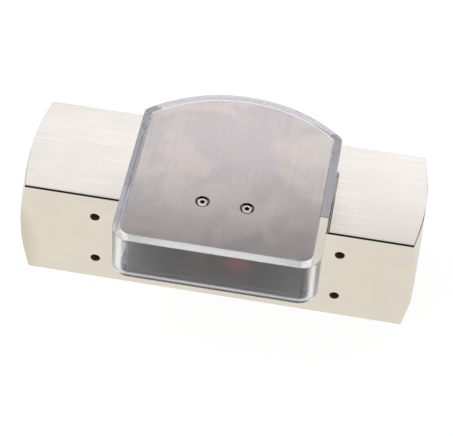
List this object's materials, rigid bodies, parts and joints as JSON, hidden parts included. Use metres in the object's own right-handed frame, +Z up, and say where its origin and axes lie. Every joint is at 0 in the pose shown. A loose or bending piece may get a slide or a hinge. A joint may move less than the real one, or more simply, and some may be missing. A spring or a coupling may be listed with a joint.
{
  "type": "variable area flow meter",
  "caption": "Inline variable area flow meter: square bar body with coned ends and threaded ports, and a clear-walled indicator whose pointer follows a sprung piston.",
  "frame": {"origin": "middle of the body's lower face", "axes": "+X along the pipe from inlet to outlet, +Y from the side with the four tapped holes to the indicator's round wall, +Z up to the indicator's lid"},
  "size_m": [0.1664, 0.0892, 0.0713],
  "materials": {
    "plated_brass": "smooth satin nickel plate",
    "brushed_plate": "brushed along the pipe",
    "black_rubber": "matt black",
    "base_metal": "plain machined",
    "clear_plastic": "clear, polished",
    "lid_metal": "brushed along the pipe",
    "bright_steel": "bright turned",
    "post_brass": "bright turned",
    "pointer_red": "plain red",
    "magnet_grey": "dull grey",
    "scale_white": "white",
    "insert_brass": "turned",
    "insert_steel": "turned stainless",
    "spring_steel": "drawn wire and strip"
  },
  "bodies": {
    "meter": {"body": "plated_brass", "top_gasket": "black_rubber", "left_top_plate": "brushed_plate", "right_top_plate": "brushed_plate", "indicator_base": "base_metal", "window_ring": "clear_plastic", "lower_seal": "black_rubber", "upper_seal": "black_rubber", "lid_plate": "lid_metal", "base_screws": "bright_steel", "lid_posts": "post_brass", "lid_screws": "bright_steel", "pivot_pin": "bright_steel", "pivot_clip": "bright_steel", "scale_strip": "scale_white", "metering_cone": "insert_steel", "inlet_spider": "insert_steel", "outlet_spider": "insert_steel", "cone_nuts": "insert_steel", "retaining_rings": "spring_steel", "spring_seat": "insert_steel", "return_spring": "spring_steel"},
    "piston_unit": {"piston": "insert_brass", "orifice_disc": "insert_steel", "piston_magnet": "magnet_grey", "magnet_retainer": "insert_steel"},
    "pointer_unit": {"pointer": "pointer_red", "pointer_bush": "post_brass", "pointer_magnet": "magnet_grey"}
  },
  "joints": [
    {"name": "piston_slide", "type": "slide", "parent": "meter", "child": "piston_unit", "axis": [1, 0, 0], "range_m": [0, 0.046], "stiffness_N_per_m": 300, "springref_m": -0.008, "deforming": ["return_spring"]},
    {"name": "pointer_turn", "type": "hinge", "parent": "meter", "child": "pointer_unit", "pos_m": [0.004, -0.0349, 0.057], "axis": [0, 0, -1], "range_deg": [0, 64]}
  ],
  "couplings": [
    {"joint": "pointer_turn", "follows": "piston_slide", "rad_per_m": 24.28}
  ]
}
